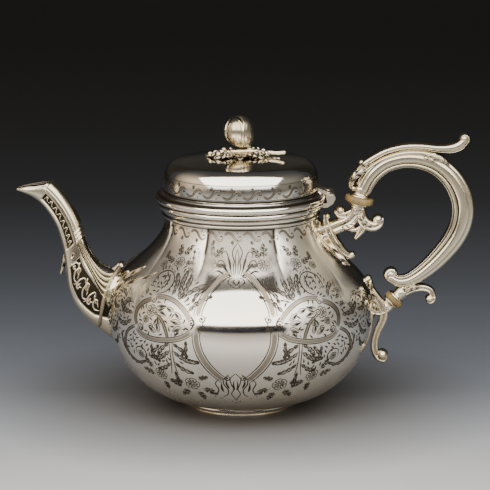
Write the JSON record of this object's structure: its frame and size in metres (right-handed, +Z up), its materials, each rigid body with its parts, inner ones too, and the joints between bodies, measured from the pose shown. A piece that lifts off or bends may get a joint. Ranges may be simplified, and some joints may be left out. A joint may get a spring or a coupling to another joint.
{
  "type": "silver teapot",
  "caption": "Pear-shaped silver teapot on a low foot: hinged domed lid with a bud finial, swan-neck spout and a C-scroll handle set off the body by two insulating discs.",
  "frame": {"origin": "centre of the foot's resting face, on the teapot's axis", "axes": "+Z up along the teapot's axis, +X towards the handle, -X towards the spout, so the longest extent lies along X"},
  "size_m": [0.2513, 0.1476, 0.1606],
  "materials": {
    "silver_raised": "polished silver sheet with fine engraving, darkened in the cuts",
    "silver_cast": "cast and chased silver, bright on the high parts and dark in the recesses",
    "insulator_bone": "turned bone-like disc, yellowed, satin"
  },
  "bodies": {
    "pot": {"foot_ring": "silver_raised", "body_shell": "silver_raised", "neck_collar": "silver_raised", "lid_seat_ring": "silver_raised", "hinge_body_leaf": "silver_cast", "hinge_pin": "silver_raised", "spout_left_half": "silver_cast", "spout_right_half": "silver_cast", "spout_crest": "silver_cast", "spout_spur": "silver_cast", "upper_socket": "silver_cast", "upper_insulator": "insulator_bone", "handle_grip": "silver_cast", "handle_cap": "silver_cast", "handle_spur": "silver_cast", "lower_insulator": "insulator_bone", "lower_socket": "silver_cast", "cross_pins": "silver_raised"},
    "lid": {"lid_dome": "silver_raised", "lid_rim": "silver_raised", "lid_bezel": "silver_raised", "hinge_lid_leaf": "silver_cast", "finial_bud": "silver_cast", "finial_foliage": "silver_cast", "finial_stud": "silver_raised", "finial_washer": "silver_raised", "finial_nut": "silver_raised"}
  },
  "joints": [
    {"name": "lid_hinge", "type": "hinge", "parent": "pot", "child": "lid", "pos_m": [0.049, 0, 0.1172], "axis": [0, 1, 0], "range_deg": [0, 60]}
  ]
}
